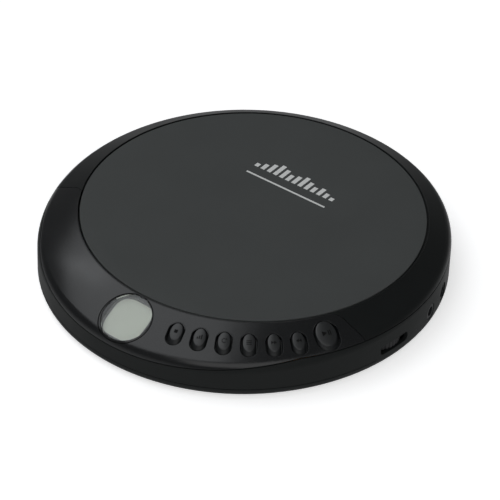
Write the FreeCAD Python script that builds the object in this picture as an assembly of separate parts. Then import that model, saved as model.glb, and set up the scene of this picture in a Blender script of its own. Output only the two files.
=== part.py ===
"""Portable disc player: a slim round case with a hinged lid, a sloping front fascia and a disc drive.

Frame: millimetres, +Z up, +Y to the hinge at the rear. The origin is on the surface that the feet
stand on, under the centre of the oval case. The disc, the lid panel and the spindle share one
vertical axis, DISC_Y behind the centre of the case.
"""
import FreeCAD, Part
import math
import os

Vector = FreeCAD.Vector
X_AXIS = Vector(1, 0, 0)
Y_AXIS = Vector(0, 1, 0)
Z_AXIS = Vector(0, 0, 1)

# Outer form
HALF_WIDTH = 72.4
HALF_DEPTH = 74.9
DISC_Y = 4.6
CASE_Z = 1.0
RIM_Z = 21.4
GROOVE_R = 62.0
SLOPE_DEG = 26.0
SHOULDER_ROUND = 4.0
SHOULDER_EDGE_Z = (10.0, 20.0)
SHOULDER_EDGE_LENGTH = 20.0
BASE_ROUND = 3.0
WALL = 1.5
SEAM_GAP = 0.2
LID_GAP = 0.35
BIG = 400.0
TALL = 60.0

# Seams between the shells
BASE_SEAM_Z = 4.4
TAB_SEAM_Z = 6.0
TAB_START_DEG = -17.5
TAB_END_DEG = 26.0
SIDE_SEAM_Z = 14.8
SMILE_DROP = 4.5
SMILE_HALF = 57.0
SPLIT_Y = -22.5
TIP_ROUND = 6.0
SPLIT_GAP = 0.15

# Lid
PANEL_R = 61.4
PANEL_TOP = 21.5
PANEL_T = 0.8
LID_PLATE_BOTTOM = 19.9
LINER_R = 59.5
LINER_BORE_R = 4.0
LINER_T = 0.3
HOOK_X = (-66.8, -65.4)
HOOK_Y = (-13.5, -9.5)
HOOK_Z = (10.6, 18.0)
BARB_TIP_Y = -8.2
BARB_TOP = 11.8
HOOK_WAY = (-68.4, -63.6, -15.0, -1.0, 9.0, 20.0)
HINGE_Y = 69.5
HINGE_Z = 9.5
HINGE_ROUND = 5.35
HINGE_ZONE = 30.0
HINGE_GAP_TOP = 13.6
KNUCKLES = ((-13.7, 13.7), (18.3, 23.0), (-23.0, -18.3))
ARM_X = 16.0
ARM_WIDTH = 4.0
ARM_SLOT = 4.6
ARM_R = 2.8
ARM_LINK_Y = (67.2, 71.4)
ARM_LINK_TOP = 18.4
PIN_R = 1.0
PIN_SPAN = (10.0, 21.5)

# Disc well
WELL_R = 60.9
WELL_WALL = 1.0
WELL_TOP = 19.2
FLOOR_TOP = 15.3
FLOOR_T = 1.2
SHOULDER_GAP = 2.6
SHOULDER_T = 1.4
SHOULDER_Z = 13.2
HUB_HOLE_R = 12.0
PICKUP_WINDOW = (-8.0, 8.0, -57.0, DISC_Y)

# Spindle
TURNTABLE_R = 13.3
TURNTABLE_Z = (15.8, 17.0)
NOSE_R = 7.35
NOSE_TOP = 19.0
SHAFT_R = 0.75
HUB_STEM_Z = 10.2
HUB_STEM_R = 3.0
MOTOR_R = 11.0
MOTOR_Z = (3.6, 8.6)
BOSS_R = 3.3
BOSS_TOP = 9.9
BALL_R = 1.0
BALL_Z = 18.0
BALL_INSET = 0.6

# Drive chassis and pickup
CHASSIS_Z = (8.6, 9.4)
CHASSIS_HALF = 31.0
CHASSIS_Y = (-64.0, 16.4)
CHASSIS_POST_TOP = 13.0
CHASSIS_WINDOWS = ((-7.0, 7.0, -56.0, -12.0), (-28.0, -16.0, -44.0, -8.0))
CHASSIS_CORNER = 5.0
AXLE_R = 0.8
ROD_X = 10.5
ROD_Z = 11.4
ROD_R = 1.0
ROD_Y = (-63.2, -5.0)
ROD_POST_HALF = 1.7
ROD_POST_Y = ((-63.6, -61.3), (-7.1, -4.6))
RUNNING = 0.05
LENS_HOME_R = 24.0
SLED_HALF = 12.3
SLED_FRONT = 8.0
SLED_BACK = 12.0
SLED_Z = (9.7, 13.6)
POCKET_HALF = 5.2
POCKET_Z = 11.2
HOLDER_HALF = (4.0, 3.0)
HOLDER_Z = (12.2, 13.4)
TOWER_R = 2.8
TOWER_TOP = 15.7
LENS_R = 1.89
LENS_Z = (14.6, 16.1)
LENS_Y = DISC_Y - LENS_HOME_R

# Feed gears
MODULE = 0.5
PINION_TEETH = 18
GEAR_TEETH = 22
MOTOR_TEETH = 10
RACK_X = 14.2
GEAR_Y = -24.0
GEAR_ANGLE_DEG = -45.0
RACK_Z = (9.9, 11.1)
GEAR_Z = (11.4, 12.4)
ADDENDUM = 0.75
DEDENDUM = 1.1
FEED_MOTOR_R = 5.4
FEED_MOTOR_Z = 3.6
FEED_SHAFT = (0.6, 5.0)
TOOTH_ROOT = 0.28
TOOTH_TIP = 0.10

# Buttons, as places round the disc axis on the sloping fascia
BUTTON_R = 69.8
BUTTON_FIRST_DEG = -75.0
BUTTON_STEP_DEG = 7.0
BUTTON_NAMES = ("stop", "bass", "mode", "program", "next", "previous")
BUTTON_HOLE = (5.4, 8.4)
PLAY_R = 68.9
PLAY_DEG = -31.6
PLAY_HOLE = (8.4, 11.0)
BUTTON_GAP = 0.25
BUTTON_PROUD = 0.1
FLARE = 0.6
FLANGE = 0.3
CAP_ROUND = 0.7
FLANGE_Z = (-2.7, -1.9)
KEY_STEM_R = 1.2
KEY_STEM_END = -3.1
BOARD_DEPTH = (4.4, 5.0)
DOME_R = 1.8
DOME_Z = (-4.35, -3.85)
BOARD_RADII = (74.0, 64.6)
BOARD_ANGLES = (-78.4, -26.5)

# Display
DISPLAY_R = 70.6
DISPLAY_DEG = -90.5
DISPLAY_HOLE_R = 9.2
DISPLAY_LENS_R = 9.0
LCD_HALF = 7.7
LCD_Z = (-3.9, -2.65)
TUNNEL_R = (8.3, 7.6)
TUNNEL_Z = (-2.6, -1.62)

# Side controls
SIDE_Z = 7.3
SIDE_HOLE_X = (50.0, 85.0)
VOLUME_DEG = -7.5
VOLUME_R = 9.0
VOLUME_Z = (6.2, 8.6)
VOLUME_EDGE = 72.0
VOLUME_NOTCHES = 36
NOTCH_R = 0.32
VOLUME_SPINDLE_R = 1.5
POT_R = 5.0
POT_TOP = 6.0
SLOT_Y = (-6.6, 7.0)
SLOT_Z = (-1.7, 1.9)
SLOT_ROUND = 1.4
PHONES_DEG = 10.6
PHONES_HOLE_R = 2.95
PLUG_R = 1.8
PHONES_BODY = (14.0, 1.8, 3.2, 2.8)
PHONES_COLLAR = (2.8, 3.2)
PHONES_BORE_END = 12.4
COLLAR_LENGTH = 3.0
DC_DEG = 20.6
DC_HOLE_R = 3.35
DC_BORE_R = 2.3
DC_BODY = (12.5, 1.9, 4.0, 3.2)
DC_COLLAR = (3.2, 3.4)
DC_BORE_END = 9.5
DC_PIN_R = 0.6
DC_PIN_X = (10.0, 2.0)
SLIDE_SLOT_X = (-80.0, -66.0)
SLIDE_SLOT_Y = (-8.4, 3.4)
SLIDE_SLOT_Z = (8.3, 11.9)
SLIDE_PLATE = (-68.8, -67.6, -13.0, 1.0, 7.6, 13.2)
SLIDE_NOSE = (-67.6, -65.4, -8.0, -4.0, 12.0, 13.2)
SLIDE_KNOB = (-71.7, -68.8, -8.0, 0.0, 8.7, 11.5)
SLIDE_RIBS = (-7.2, -5.2, -3.2, -1.2)
RIB_HEIGHT = 0.4
RIB_WIDTH = 0.7

# Bottom shell
BOTTOM_T = 1.4
DAMPER_POST_R = 2.0
SCREW_POST_R = 3.0
BOARD_POST_R = 1.6
CABINET_POST_R = 2.8
SCREW_WAY_R = 1.1
BAY_WALL = (3.0, 1.3, 0.8)
BAY_ROOF = (0.5, 3.6)

# Battery bay
BAY_X = 35.5
BAY_Y = (19.0, 54.6)
BAY_Z = (2.3, 9.0)
DOOR_X = 36.0
DOOR_Y0 = 18.0
DOOR_TOP = 2.2
DOOR_GAP = 0.15
TONGUE = 0.9
TONGUE_BOTTOM = 1.6
TONGUE_END = 52.0
GRIP_YS = (58.0, 60.0, 62.0, 64.0)
CONTACT_YS = (28.2, 45.4)
CONTACT_Z = (3.2, 8.4)

# Boards and fixings
PCB_Z = (3.4, 4.4)
PCB_POSTS = ((50, -30), (60, 20), (44, 4))
CHIP_PLACES = ((41, -12, 9, 9), (48, -36, 7, 7), (52, 6, 6, 8), (43.5, 12, 4, 5))
CHIP_T = 1.3
CAPACITOR_PLACES = ((36, -26), (36, -19), (56, -24), (57, -32), (44, 42))
CAPACITOR_R = 2.2
CAPACITOR_TOP = 9.4
SWITCH_BOX = (50.0, 54.5, 36.5, 41.0)
SWITCH_TOP = 10.0
SWITCH_PIN = (0.9, 12.6, 52.2, 38.7)
CASE_SCREWS = ((-37.0, -38.0), (37.0, -38.0), (-46.0, 28.0), (46.0, 28.0))
DAMPERS = ((-25.0, -52.0), (25.0, -52.0), (24.0, 11.0))
FEET = ((-49.0, -38.0), (49.0, -38.0), (-49.0, 38.0), (49.0, 38.0))
DAMPER_Z = (7.2, 10.6)
DAMPER_R = (3.4, 2.2, 1.2)
SCREW_HOLE_R = 0.92
SHANK_R = 0.9
CASE_HEAD_R = 2.0
CASE_HEAD_Z = (1.4, 2.6)
CASE_SCREW_END = 11.5
DAMPER_HEAD_R = 2.6
DAMPER_HEAD_Z = (10.6, 11.5)
DAMPER_SCREW_END = 4.0
FOOT_R = 5.0
FOOT_SINK = 0.5

SLOPE = math.radians(SLOPE_DEG)
ARC_SHIFT = (HALF_DEPTH - HALF_WIDTH) / (2 - math.sqrt(2))


def box(x0, x1, y0, y1, z0, z1):
    """Axis-aligned block between two corners."""
    return Part.makeBox(x1 - x0, y1 - y0, z1 - z0, Vector(x0, y0, z0))


def cyl(radius, z0, z1, x=0.0, y=0.0):
    """Upright cylinder."""
    return Part.makeCylinder(radius, z1 - z0, Vector(x, y, z0))


def ring(r_out, r_in, z0, z1, x=0.0, y=0.0):
    """Upright tube."""
    return cyl(r_out, z0, z1, x, y).cut(cyl(r_in, z0 - 1, z1 + 1, x, y))


def fuse(shapes):
    """One solid from several that meet."""
    return shapes[0].multiFuse(list(shapes[1:])).removeSplitter()


def group(shapes):
    """Separate solids in one node."""
    return Part.makeCompound(list(shapes))


def oval(inset, z0, z1):
    """Upright prism on a four-arc oval, inset evenly from the outline of the case."""
    arcs = []
    for quarter in range(4):
        middle = math.radians(90 * quarter)
        across = quarter % 2 == 0
        radius = (HALF_WIDTH + ARC_SHIFT if across else HALF_DEPTH - ARC_SHIFT) - inset
        shift = -ARC_SHIFT if across else ARC_SHIFT
        centre = Vector(shift * math.cos(middle), shift * math.sin(middle), z0)
        circle = Part.Circle(centre, Z_AXIS, radius)
        arcs.append(Part.ArcOfCircle(circle, middle - math.pi / 4, middle + math.pi / 4).toShape())
    return Part.Face(Part.Wire(arcs)).extrude(Vector(0, 0, z1 - z0))


def slope_cone(depth):
    """Everything under the sloping top, lowered square to the slope by depth."""
    top = RIM_Z - depth / math.cos(SLOPE)
    spread = top / math.tan(SLOPE)
    return Part.makeCone(GROOVE_R + spread, GROOVE_R, top, Vector(0, DISC_Y, 0))


def envelope(inset, z0=0.0):
    """The case's outer form, inset evenly; the true outer form has its edges rounded."""
    shape = oval(inset, max(z0, CASE_Z if inset == 0 else z0), BIG).common(slope_cone(inset))
    if inset > 0:
        return shape
    low, high = SHOULDER_EDGE_Z
    shoulder = [e for e in shape.Edges if e.BoundBox.ZMin > low and e.BoundBox.ZMax < high
                and e.BoundBox.DiagonalLength > SHOULDER_EDGE_LENGTH]
    shape = shape.makeFillet(SHOULDER_ROUND, shoulder)
    base = [e for e in shape.Edges if e.BoundBox.ZMax < CASE_Z + 0.01]
    return shape.makeFillet(BASE_ROUND, base)


def slope_z(radius):
    """Height of the slope at a distance from the disc axis."""
    return RIM_Z - (radius - GROOVE_R) * math.tan(SLOPE)


def on_slope(shape, radius, angle_deg):
    """Put a shape drawn at the origin (Z out, Y up the slope) on the fascia."""
    shape = shape.copy()
    shape.rotate(Vector(0, 0, 0), X_AXIS, SLOPE_DEG)
    shape.translate(Vector(0, DISC_Y - radius, slope_z(radius)))
    shape.rotate(Vector(0, DISC_Y, 0), Z_AXIS, angle_deg + 90)
    return shape


def pill(width, length, z0, z1):
    """Prism with round ends, long along Y."""
    half = (length - width) / 2
    ends = [cyl(width / 2, z0, z1, 0, side * half) for side in (-1, 1)]
    return fuse([box(-width / 2, width / 2, -half, half, z0, z1)] + ends)


def radial(shape, angle_deg):
    """Turn a shape drawn along +X to an angle round the case."""
    shape = shape.copy()
    shape.rotate(Vector(0, 0, 0), Z_AXIS, angle_deg)
    return shape


def side_reach(angle_deg):
    """Distance from the case's centre to its right side wall."""
    a = math.radians(angle_deg)
    radius = HALF_WIDTH + ARC_SHIFT
    return math.sqrt(radius ** 2 - (ARC_SHIFT * math.sin(a)) ** 2) - ARC_SHIFT * math.cos(a)


def above_band(gap):
    """Everything above the seam on top of the side band, which dips in an arc at the front."""
    radius = (SMILE_HALF ** 2 + SMILE_DROP ** 2) / (2 * SMILE_DROP)
    bottom = SIDE_SEAM_Z - SMILE_DROP + gap
    arc = Part.makeCylinder(radius, BIG, Vector(0, -BIG, bottom + radius), Y_AXIS)
    arc = arc.common(box(-SMILE_HALF, SMILE_HALF, -BIG, 0, bottom - 1, SIDE_SEAM_Z + gap + 1))
    return fuse([box(-BIG, BIG, -BIG, BIG, SIDE_SEAM_Z + gap, BIG / 2), arc])


def fascia_plan(gap):
    """Plan prism of the front fascia: ahead of the split line, outside the groove, tips rounded."""
    front = box(-BIG, BIG, -BIG, SPLIT_Y - gap, -5, 60)
    front = front.cut(cyl(GROOVE_R, -6, 61, 0, DISC_Y))
    tips = [e for e in front.Edges if abs(e.Length - 65) < 0.01 and
            abs(e.BoundBox.YMax - SPLIT_Y + gap) < 0.01 and abs(e.BoundBox.XMax) < 80]
    return front.makeFillet(TIP_ROUND, tips)


def side_tab():
    """Raised stretch of the bottom shell's wall, under the openings on the right."""
    reach = 90.0
    a0, a1 = math.radians(TAB_START_DEG), math.radians(TAB_END_DEG)
    corners = [Vector(40, 0, 0),
               Vector(reach * math.cos(a0), reach * math.sin(a0), 0),
               Vector(reach * math.cos(a1), reach * math.sin(a1), 0)]
    face = Part.Face(Part.makePolygon(corners + corners[:1]))
    prism = face.extrude(Vector(0, 0, TAB_SEAM_Z - BASE_SEAM_Z + 1))
    prism.translate(Vector(0, 0, BASE_SEAM_Z - 1))
    return prism


def side_holes():
    """Openings in the right side: the volume slot, the phones socket and the power inlet."""
    start, end = SIDE_HOLE_X
    slot = box(start, end, *SLOT_Y, SIDE_Z + SLOT_Z[0], SIDE_Z + SLOT_Z[1])
    slot = slot.makeFillet(SLOT_ROUND, [e for e in slot.Edges if e.BoundBox.XLength > 1])
    phones = Part.makeCylinder(PHONES_HOLE_R, end - start, Vector(start, 0, SIDE_Z), X_AXIS)
    inlet = Part.makeCylinder(DC_HOLE_R, end - start, Vector(start, 0, SIDE_Z), X_AXIS)
    return [radial(slot, VOLUME_DEG), radial(phones, PHONES_DEG), radial(inlet, DC_DEG)]


def latch_slot():
    """Slot in the left side wall for the opening slide's knob."""
    return box(*SLIDE_SLOT_X, *SLIDE_SLOT_Y, *SLIDE_SLOT_Z)


def bottom_case(outer):
    """Bottom shell: a shallow tray with the battery bay and the fixing posts."""
    shell = outer.common(box(-BIG, BIG, -BIG, BIG, 0, BASE_SEAM_Z))
    tab = outer.common(side_tab()).cut(oval(WALL, 0, 30))
    shell = fuse([shell.cut(oval(WALL, CASE_Z + BOTTOM_T, 30)), tab])
    side, end, top = BAY_WALL
    bay = box(-BAY_X - side, BAY_X + side, DOOR_Y0 - end, BAY_Y[1] + end, CASE_Z, BAY_Z[1] + top)
    inset, height = BAY_ROOF
    roof = box(-BAY_X - side, BAY_X + side, BAY_Y[1], BIG, 0, height)
    roof = oval(inset, CASE_Z + 1, height).common(roof)
    posts = [cyl(DAMPER_POST_R, CASE_Z + 1, DAMPER_Z[0], x, y) for x, y in DAMPERS]
    posts += [cyl(SCREW_POST_R, CASE_Z, BASE_SEAM_Z, x, y) for x, y in CASE_SCREWS]
    posts += [cyl(BOARD_POST_R, CASE_Z + 1, PCB_Z[0], x, y) for x, y in PCB_POSTS]
    shell = fuse([shell, bay, roof] + posts)
    half, front = DOOR_X + DOOR_GAP, DOOR_Y0 - DOOR_GAP
    door_way = box(-half, half, front, BIG, 0, DOOR_TOP + 0.1)
    rails = box(-half - TONGUE, half + TONGUE, front, BIG, TONGUE_BOTTOM - 0.1, DOOR_TOP + 0.1)
    cuts = [door_way, rails, box(-BAY_X, BAY_X, BAY_Y[0], BAY_Y[1], 2, BAY_Z[1])]
    cuts += [cyl(FOOT_R + 0.1, 0, CASE_Z + FOOT_SINK, x, y) for x, y in FEET]
    cuts += [cyl(SCREW_WAY_R, 0, 6, x, y) for x, y in CASE_SCREWS]
    cuts += [cyl(CASE_HEAD_R + 0.2, 0, CASE_HEAD_Z[1], x, y) for x, y in CASE_SCREWS]
    cuts += [cyl(SCREW_HOLE_R, DAMPER_SCREW_END - 0.5, 8, x, y) for x, y in DAMPERS]
    return shell.cut(group(cuts + side_holes()))


def hinge_barrels():
    """Knuckles that hold the lid's two pins, rounded about the hinge line."""
    return [Part.makeCylinder(HINGE_ROUND, b - a, Vector(a, HINGE_Y, HINGE_Z), X_AXIS)
            for a, b in KNUCKLES]


def mid_case(outer):
    """Upper cabinet: the side band, the shoulder under the lid and the disc well."""
    band = outer.cut(oval(WALL, 0, 60)).common(box(-BIG, BIG, -BIG, BIG, BASE_SEAM_Z + SEAM_GAP, 40))
    band = band.cut(above_band(0)).cut(side_tab())
    behind = box(-BIG, BIG, SPLIT_Y + 1.0, BIG, 0, 60)
    shoulder = envelope(SHOULDER_GAP, SHOULDER_Z).cut(envelope(SHOULDER_GAP + SHOULDER_T, 0))
    ledge = oval(1.4, SHOULDER_Z, SIDE_SEAM_Z).cut(oval(SHOULDER_GAP + SHOULDER_T, 13, 20))
    back = fuse([shoulder, ledge]).common(behind).cut(cyl(WELL_R, 0, 60, 0, DISC_Y))
    back = back.common(box(-BIG, BIG, -BIG, BIG, 0, WELL_TOP))
    well = ring(WELL_R + WELL_WALL, WELL_R, FLOOR_TOP - FLOOR_T, WELL_TOP, 0, DISC_Y)
    floor = cyl(WELL_R + 0.1, FLOOR_TOP - FLOOR_T, FLOOR_TOP, 0, DISC_Y)
    posts = [cyl(CABINET_POST_R, BASE_SEAM_Z + SEAM_GAP, FLOOR_TOP - 0.5, x, y)
             for x, y in CASE_SCREWS]
    barrels = [b.common(oval(0.05, BASE_SEAM_Z + SEAM_GAP, 40)) for b in hinge_barrels()]
    shell = fuse([band, back, well, floor] + posts + barrels)
    shell = shell.cut(hinge_clearance())
    window = box(*PICKUP_WINDOW, 10, FLOOR_TOP + 1.1)
    slots = [box(s * ARM_X - ARM_SLOT / 2, s * ARM_X + ARM_SLOT / 2, 65.5, BIG, 6, 40)
             for s in (-1, 1)]
    pins = [Part.makeCylinder(PIN_R + 0.01, PIN_SPAN[1] - PIN_SPAN[0],
                              Vector(PIN_SPAN[0] if s > 0 else -PIN_SPAN[1], HINGE_Y, HINGE_Z),
                              X_AXIS) for s in (-1, 1)]
    cuts = [window, cyl(HUB_HOLE_R, 10, 18, 0, DISC_Y), box(*HOOK_WAY), latch_slot()] + slots + pins
    cuts += [cyl(SCREW_HOLE_R, 3, CASE_SCREW_END + 1, x, y) for x, y in CASE_SCREWS]
    return shell.cut(group(cuts)).cut(group(side_holes()))


def hinge_clearance():
    """What is cut from the rear wall so that the lid's skirt can swing over it."""
    quarter = box(-HINGE_ZONE, HINGE_ZONE, HINGE_Y, BIG, HINGE_Z, HINGE_GAP_TOP)
    start = Vector(-HINGE_ZONE, HINGE_Y, HINGE_Z)
    keep = Part.makeCylinder(HINGE_ROUND, 2 * HINGE_ZONE, start, X_AXIS)
    top = box(-HINGE_ZONE, HINGE_ZONE, HINGE_Y - 0.5, BIG, HINGE_GAP_TOP, SIDE_SEAM_Z + 0.01)
    return fuse([quarter, top]).cut(keep)


def fascia(outer):
    """Gloss front crescent with the holes for the display and the buttons."""
    shell = outer.cut(envelope(WALL, -1)).common(fascia_plan(SPLIT_GAP))
    shell = shell.common(above_band(LID_GAP))
    lip = ring(GROOVE_R + 1.2, GROOVE_R, 16.5, RIM_Z - 0.4, 0, DISC_Y).common(fascia_plan(SPLIT_GAP))
    lip = lip.common(slope_cone(0.2))
    shell = fuse([shell, lip])
    reach = LCD_HALF + 0.5
    display_way = fuse([cyl(DISPLAY_HOLE_R, -6, 3), box(-reach, reach, -reach, reach, -6, -1.55)])
    cuts = [on_slope(display_way, DISPLAY_R, DISPLAY_DEG)]
    small = key_hole(BUTTON_HOLE)
    cuts += [on_slope(small, BUTTON_R, angle) for angle in button_angles()]
    cuts.append(on_slope(key_hole(PLAY_HOLE), PLAY_R, PLAY_DEG))
    for cut in cuts:
        shell = shell.cut(cut)
    return shell


def key_hole(hole):
    """Cutter for one key: its flared mouth, its hole and the room for its flange."""
    width, length = hole
    mouth = []
    for grow, z in ((0.0, -FLARE), (3.0 * FLARE, 2.0 * FLARE)):
        half = (length - width) / 2
        radius = (width + grow) / 2
        right = Part.LineSegment(Vector(radius, -half, z), Vector(radius, half, z))
        left = Part.LineSegment(Vector(-radius, half, z), Vector(-radius, -half, z))
        top = Part.Arc(Vector(radius, half, z), Vector(0, half + radius, z), Vector(-radius, half, z))
        end = Part.Arc(Vector(-radius, -half, z), Vector(0, -half - radius, z), Vector(radius, -half, z))
        mouth.append(Part.Wire([part.toShape() for part in (right, top, left, end)]))
    flare = Part.makeLoft(mouth, True, True)
    room = pill(width + 1.8, length + 1.8, -6, -WALL - 0.05)
    return fuse([flare, pill(width, length, -6, 0), room])


def button_angles():
    """Angles of the six small buttons round the disc axis."""
    return [BUTTON_FIRST_DEG + i * BUTTON_STEP_DEG for i in range(len(BUTTON_NAMES))]


def button(hole, radius, angle_deg):
    """Key cap with a rounded top, a flange that keeps it in and a stem for its switch."""
    width, length = hole[0] - 2 * BUTTON_GAP, hole[1] - 2 * BUTTON_GAP
    cap = pill(width, length, FLANGE_Z[1], BUTTON_PROUD)
    top = [e for e in cap.Edges if e.BoundBox.ZMin > BUTTON_PROUD - 0.01]
    cap = cap.makeFillet(CAP_ROUND, top)
    flange = pill(hole[0] + 2 * FLANGE, hole[1] + 2 * FLANGE, *FLANGE_Z)
    stem = cyl(KEY_STEM_R, KEY_STEM_END, FLANGE_Z[0])
    return on_slope(fuse([cap, flange, stem]), radius, angle_deg)


def display_window(outer):
    """Clear round window, flush with the fascia."""
    disc = on_slope(cyl(DISPLAY_LENS_R, -4, 3), DISPLAY_R, DISPLAY_DEG)
    skin = outer.cut(envelope(WALL, -1)).common(slope_cone(0.2)).common(above_band(LID_GAP + 0.1))
    return disc.common(skin)


def lcd_holder():
    """Short black tunnel between the window and the liquid crystal panel."""
    tube = ring(TUNNEL_R[0], TUNNEL_R[1], TUNNEL_Z[0], TUNNEL_Z[1])
    return on_slope(tube, DISPLAY_R, DISPLAY_DEG).common(envelope(WALL + 0.1))


def lcd_panel():
    """Blank liquid crystal panel behind the tunnel."""
    high = LCD_HALF - 0.4
    panel = box(-LCD_HALF, LCD_HALF, -high, high, LCD_Z[0], LCD_Z[1])
    return on_slope(panel, DISPLAY_R, DISPLAY_DEG)


def key_board():
    """Flexible key board that follows the slope behind the buttons."""
    strip = slope_cone(BOARD_DEPTH[0]).cut(slope_cone(BOARD_DEPTH[1]))
    strip = strip.common(ring(BOARD_RADII[0], BOARD_RADII[1], 5, 25, 0, DISC_Y))
    wedge = []
    for angle in BOARD_ANGLES:
        a = math.radians(angle)
        wedge.append(Vector(100 * math.cos(a), DISC_Y + 100 * math.sin(a), 0))
    face = Part.Face(Part.makePolygon([Vector(0, DISC_Y, 0)] + wedge + [Vector(0, DISC_Y, 0)]))
    return strip.common(face.extrude(Vector(0, 0, 40))).common(oval(WALL + 0.6, 0, 40))


def key_domes():
    """One click dome under each button."""
    dome = cyl(DOME_R, DOME_Z[0], DOME_Z[1])
    domes = [on_slope(dome, BUTTON_R, angle) for angle in button_angles()]
    return group(domes + [on_slope(dome, PLAY_R, PLAY_DEG)])


def lid_shell(outer):
    """Lid moulding: the rear crescent rim, the plate under the panel and the two hinge arms."""
    behind = box(-BIG, BIG, -BIG, BIG, -10, 60).cut(fascia_plan(-SPLIT_GAP))
    skin = outer.cut(envelope(WALL, -1)).common(behind).cut(cyl(GROOVE_R, 0, 60, 0, DISC_Y))
    skin = skin.common(box(-BIG, BIG, -BIG, BIG, SIDE_SEAM_Z + LID_GAP, TALL))
    plate = cyl(PANEL_R, LID_PLATE_BOTTOM, PANEL_TOP - PANEL_T, 0, DISC_Y)
    web = cyl(GROOVE_R + 1.0, LID_PLATE_BOTTOM - 0.4, PANEL_TOP - PANEL_T, 0, DISC_Y)
    web = web.cut(cyl(PANEL_R - 0.5, 0, 60, 0, DISC_Y)).common(behind)
    web = web.common(envelope(0.3, 0)).common(box(-BIG, BIG, SPLIT_Y + 0.2, BIG, 0, 60))
    arms = []
    for side in (-1, 1):
        x0 = side * ARM_X - ARM_WIDTH / 2
        eye = Part.makeCylinder(ARM_R, ARM_WIDTH, Vector(x0, HINGE_Y, HINGE_Z), X_AXIS)
        link = box(x0, x0 + ARM_WIDTH, ARM_LINK_Y[0], ARM_LINK_Y[1], HINGE_Z, ARM_LINK_TOP)
        arms += [eye, link]
    shell = fuse([skin, web, plate] + [a.common(oval(0.3, 0, 40)).common(outer) for a in arms])
    bores = [Part.makeCylinder(PIN_R + 0.06, ARM_WIDTH + 2,
                               Vector(side * ARM_X - ARM_WIDTH / 2 - 1, HINGE_Y, HINGE_Z), X_AXIS)
             for side in (-1, 1)]
    return shell.cut(group(bores))


def lid_panel():
    """Flat matt disc let into the lid."""
    disc = cyl(PANEL_R, PANEL_TOP - PANEL_T, PANEL_TOP, 0, DISC_Y)
    edge = [e for e in disc.Edges if e.BoundBox.ZMin > PANEL_TOP - 0.01]
    return disc.makeChamfer(0.15, edge)


def lid_liner():
    """Thin lining sheet inside the lid, over the disc."""
    return ring(LINER_R, LINER_BORE_R, LID_PLATE_BOTTOM - LINER_T, LID_PLATE_BOTTOM, 0, DISC_Y)


def lid_hook():
    """Prong under the lid's left tip that the opening slide catches."""
    prong = box(*HOOK_X, *HOOK_Y, *HOOK_Z)
    barb = box(*HOOK_X, HOOK_Y[1], BARB_TIP_Y, HOOK_Z[0], BARB_TOP)
    return fuse([prong.common(envelope(WALL)), barb])


def open_slide():
    """Slide on the left side: the knob outside and the catch inside."""
    face, z0, z1 = SLIDE_KNOB[0], SLIDE_KNOB[4], SLIDE_KNOB[5]
    ribs = [box(face - RIB_HEIGHT, face, y, y + RIB_WIDTH, z0, z1) for y in SLIDE_RIBS]
    return fuse([box(*SLIDE_PLATE), box(*SLIDE_NOSE), box(*SLIDE_KNOB)] + ribs)


def hinge_pins():
    """Two steel pins on the hinge line."""
    length = PIN_SPAN[1] - PIN_SPAN[0]
    starts = (PIN_SPAN[0], -PIN_SPAN[1])
    return group([Part.makeCylinder(PIN_R, length, Vector(x, HINGE_Y, HINGE_Z), X_AXIS)
                  for x in starts])


def volume_centre():
    """Axis of the volume wheel."""
    a = math.radians(VOLUME_DEG)
    reach = VOLUME_EDGE - VOLUME_R
    return reach * math.cos(a), reach * math.sin(a)


def volume_wheel():
    """Knurled thumb wheel with its spindle."""
    x, y = volume_centre()
    wheel = cyl(VOLUME_R, VOLUME_Z[0], VOLUME_Z[1], x, y)
    notches = []
    for i in range(VOLUME_NOTCHES):
        a = math.radians(i * 360 / VOLUME_NOTCHES)
        notches.append(cyl(NOTCH_R, VOLUME_Z[0] - 1, VOLUME_Z[1] + 1,
                           x + VOLUME_R * math.cos(a), y + VOLUME_R * math.sin(a)))
    spindle = cyl(VOLUME_SPINDLE_R, PCB_Z[1] + 0.5, VOLUME_Z[0], x, y)
    return fuse([wheel.cut(group(notches)), spindle])


def volume_pot():
    """Potentiometer body under the wheel."""
    x, y = volume_centre()
    return ring(POT_R, VOLUME_SPINDLE_R + RUNNING, PCB_Z[1], POT_TOP, x, y)


def socket(reach, body, collar, bore_r, bore_end):
    """Socket body and collar behind the side wall, with a blind bore for a plug along X."""
    back, front, half, height = body
    collar_r, collar_back = collar
    block = box(reach - back, reach - front, -half, half, PCB_Z[1], SIDE_Z + height)
    tube = Part.makeCylinder(collar_r, COLLAR_LENGTH, Vector(reach - collar_back, 0, SIDE_Z), X_AXIS)
    bore = Part.makeCylinder(bore_r, bore_end + 1, Vector(reach - bore_end, 0, SIDE_Z), X_AXIS)
    return fuse([block, tube]).cut(bore)


def phones_jack():
    """Stereo socket for the headphone plug."""
    reach = side_reach(PHONES_DEG)
    return radial(socket(reach, PHONES_BODY, PHONES_COLLAR, PLUG_R, PHONES_BORE_END), PHONES_DEG)


def dc_inlet():
    """Power inlet with its centre pin."""
    reach = side_reach(DC_DEG)
    body = socket(reach, DC_BODY, DC_COLLAR, DC_BORE_R, DC_BORE_END)
    back, front = DC_PIN_X
    pin = Part.makeCylinder(DC_PIN_R, back - front, Vector(reach - back, 0, SIDE_Z), X_AXIS)
    return radial(fuse([body, pin]), DC_DEG)


def main_pcb():
    """Main circuit board in the right of the case."""
    board = oval(4.0, PCB_Z[0], PCB_Z[1]).common(box(32.5, 80, -46, 46, 0, 9))
    cuts = [box(30, 39.2, 15.5, 50, 0, 9)]
    cuts += [cyl(3.4, 0, 9, x, y) for x, y in CASE_SCREWS]
    return board.cut(group(cuts))


def chips():
    """Chip packages on the main board."""
    return group([box(x - w / 2, x + w / 2, y - h / 2, y + h / 2, PCB_Z[1], PCB_Z[1] + CHIP_T)
                  for x, y, w, h in CHIP_PLACES])


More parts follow.
